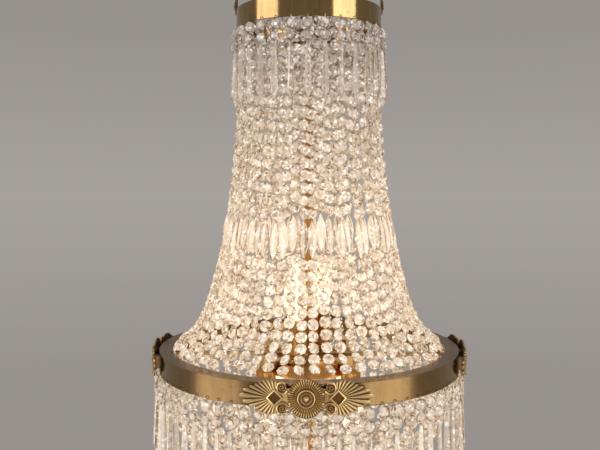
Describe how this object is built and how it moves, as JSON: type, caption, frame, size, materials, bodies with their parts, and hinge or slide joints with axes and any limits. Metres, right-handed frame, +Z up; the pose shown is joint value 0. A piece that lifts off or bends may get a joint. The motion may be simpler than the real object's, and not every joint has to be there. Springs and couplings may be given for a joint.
{
  "type": "crystal chandelier",
  "caption": "Tent-and-basket crystal chandelier: brass crown and band rings, curved bead strands, prism fringes, lamps on a central hub, hung by an eye.",
  "frame": {"origin": "centre of the hanging eye's hole", "axes": "+Z up along the stem, front ornament faces -Y, eye's hole along Y"},
  "size_m": [0.466, 0.466, 0.9428],
  "materials": {
    "aged_brass": "aged, softly polished",
    "crystal": "cut and polished lead crystal",
    "lamp_glass": "clear candle bulb with brass cap, lit warm"
  },
  "bodies": {
    "eye": {"hanging_eye": "aged_brass"},
    "frame": {"stem_rod": "aged_brass", "stem_nuts": "aged_brass", "crown_band": "aged_brass", "crown_straps": "aged_brass", "crown_palmette_front": "aged_brass", "crown_palmette_right": "aged_brass", "crown_palmette_back": "aged_brass", "crown_palmette_left": "aged_brass", "crown_pins": "aged_brass", "crown_beads": "crystal", "crown_prisms": "crystal", "tent_upper_strands": "crystal", "tent_navettes": "crystal", "tent_lower_strands": "crystal", "main_band": "aged_brass", "band_ornament_front": "aged_brass", "band_ornament_right": "aged_brass", "band_ornament_back": "aged_brass", "band_ornament_left": "aged_brass", "band_pins": "aged_brass", "band_beads": "crystal", "band_prisms": "crystal", "band_spokes": "aged_brass", "hub_pan": "aged_brass", "candle_cups": "aged_brass", "candle_sleeves": "aged_brass", "lamp_arms": "aged_brass", "lamp_holders": "aged_brass", "lamp_nuts": "aged_brass", "basket_strands": "crystal", "basket_plate": "aged_brass"},
    "candle_bulb_front": {"candle_bulb_front": "lamp_glass"},
    "candle_bulb_back": {"candle_bulb_back": "lamp_glass"},
    "lamp_bulb_front_right": {"lamp_bulb_front_right": "lamp_glass"},
    "lamp_bulb_back_right": {"lamp_bulb_back_right": "lamp_glass"},
    "lamp_bulb_back_left": {"lamp_bulb_back_left": "lamp_glass"},
    "lamp_bulb_front_left": {"lamp_bulb_front_left": "lamp_glass"},
    "finial": {"finial_nut": "aged_brass", "finial_tab": "aged_brass"},
    "link": {"pendant_link": "aged_brass"},
    "ball": {"ball_tab": "aged_brass", "crystal_ball": "crystal"}
  },
  "joints": [
    {"name": "eye_thread", "type": "hinge", "parent": "eye", "child": "frame", "pos_m": [0, 0, -0.027], "axis": [0, 0, 1], "range_deg": [-180, 180]},
    {"name": "candle_bulb_front_turn", "type": "hinge", "parent": "frame", "child": "candle_bulb_front", "pos_m": [-0.01813, -0.0498, -0.573], "axis": [0, 0, 1], "continuous": true},
    {"name": "candle_bulb_back_turn", "type": "hinge", "parent": "frame", "child": "candle_bulb_back", "pos_m": [0.01813, 0.0498, -0.573], "axis": [0, 0, 1], "continuous": true},
    {"name": "lamp_bulb_front_right_turn", "type": "hinge", "parent": "frame", "child": "lamp_bulb_front_right", "pos_m": [0.0601, -0.0601, -0.655], "axis": [0, 0, 1], "continuous": true},
    {"name": "lamp_bulb_back_right_turn", "type": "hinge", "parent": "frame", "child": "lamp_bulb_back_right", "pos_m": [0.0601, 0.0601, -0.655], "axis": [0, 0, 1], "continuous": true},
    {"name": "lamp_bulb_back_left_turn", "type": "hinge", "parent": "frame", "child": "lamp_bulb_back_left", "pos_m": [-0.0601, 0.0601, -0.655], "axis": [0, 0, 1], "continuous": true},
    {"name": "lamp_bulb_front_left_turn", "type": "hinge", "parent": "frame", "child": "lamp_bulb_front_left", "pos_m": [-0.0601, -0.0601, -0.655], "axis": [0, 0, 1], "continuous": true},
    {"name": "finial_thread", "type": "hinge", "parent": "frame", "child": "finial", "pos_m": [0, 0, -0.841], "axis": [0, 0, 1], "continuous": true},
    {"name": "link_swing", "type": "hinge", "parent": "finial", "child": "link", "pos_m": [0, 0, -0.8685], "axis": [1, 0, 0], "range_deg": [-40, 40]},
    {"name": "ball_swing", "type": "hinge", "parent": "link", "child": "ball", "pos_m": [0, 0, -0.8853], "axis": [1, 0, 0], "range_deg": [-40, 40]}
  ]
}
